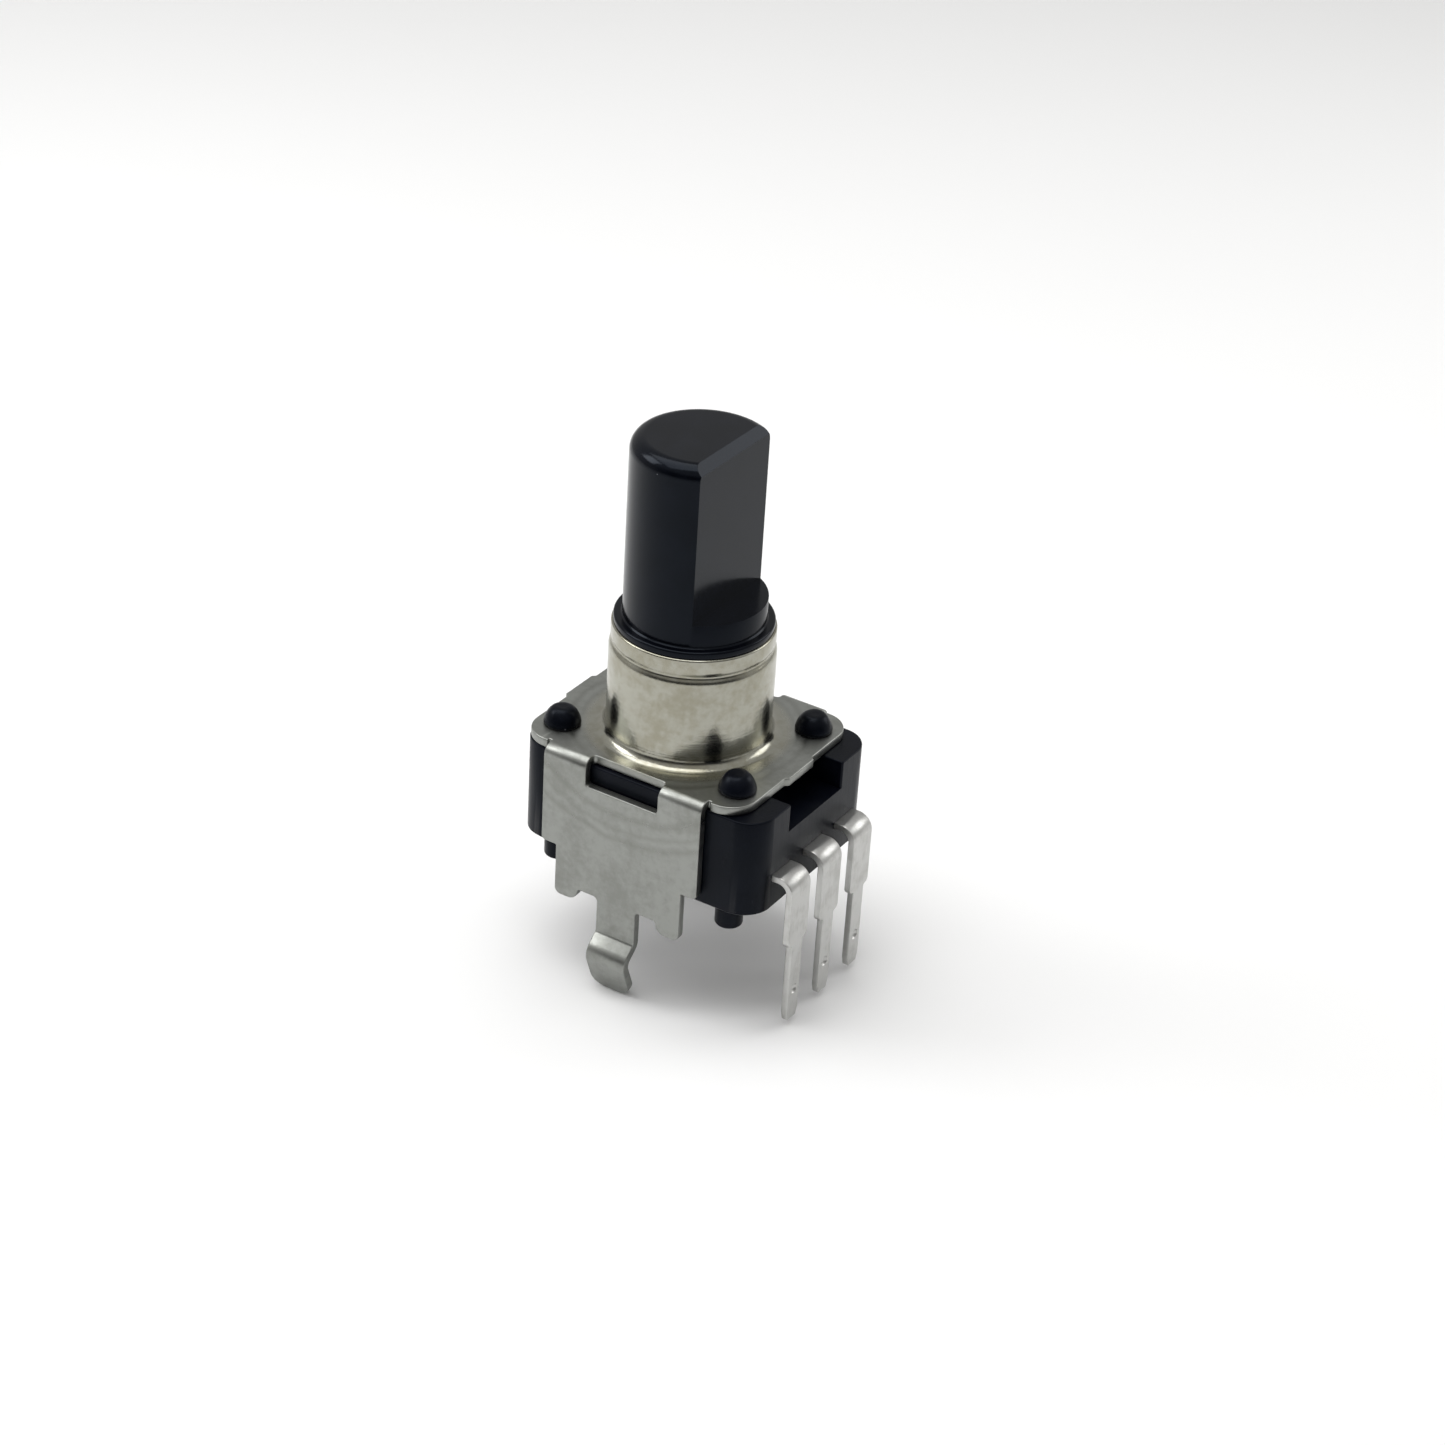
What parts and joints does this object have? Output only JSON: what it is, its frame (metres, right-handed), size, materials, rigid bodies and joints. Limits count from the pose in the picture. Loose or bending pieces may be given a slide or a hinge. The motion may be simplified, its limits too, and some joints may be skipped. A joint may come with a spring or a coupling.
{
  "type": "rotary encoder",
  "caption": "Board-mounted incremental rotary encoder with a D-cut insulated shaft in a drawn steel bushing, snap-in bracket legs and a row of bent pins.",
  "frame": {"origin": "on the shaft axis, in the plane of the circuit board that the bracket's feet stand on", "axes": "+Z along the shaft away from the board, -Y towards the row of terminals, X across the two bracket legs"},
  "size_m": [0.0114, 0.013, 0.0242],
  "materials": {
    "plated_steel": "tin-nickel plated sheet steel, satin, faint drawing marks; the neck polished",
    "tinned_brass": "tinned brass strip, satin",
    "black_resin": "glass-filled black resin, satin",
    "shaft_resin": "black engineering resin, semi-gloss",
    "rotor_resin": "natural acetal",
    "silvered_brass": "silver-plated contact strip",
    "spring_steel": "bright spring steel",
    "phosphor_bronze": "bright phosphor bronze"
  },
  "bodies": {
    "frame": {"bracket": "plated_steel", "housing": "black_resin", "base": "black_resin", "click_spring": "spring_steel", "terminal_a": "tinned_brass", "terminal_common": "tinned_brass", "terminal_b": "tinned_brass", "brush_a": "phosphor_bronze", "brush_common": "phosphor_bronze", "brush_b": "phosphor_bronze"},
    "spindle": {"shaft": "shaft_resin", "rotor": "rotor_resin", "code_disc": "silvered_brass", "retaining_ring": "spring_steel"}
  },
  "joints": [
    {"name": "shaft_turn", "type": "hinge", "parent": "frame", "child": "spindle", "pos_m": [0, 0, 0.012], "axis": [0, 0, 1], "continuous": true}
  ]
}
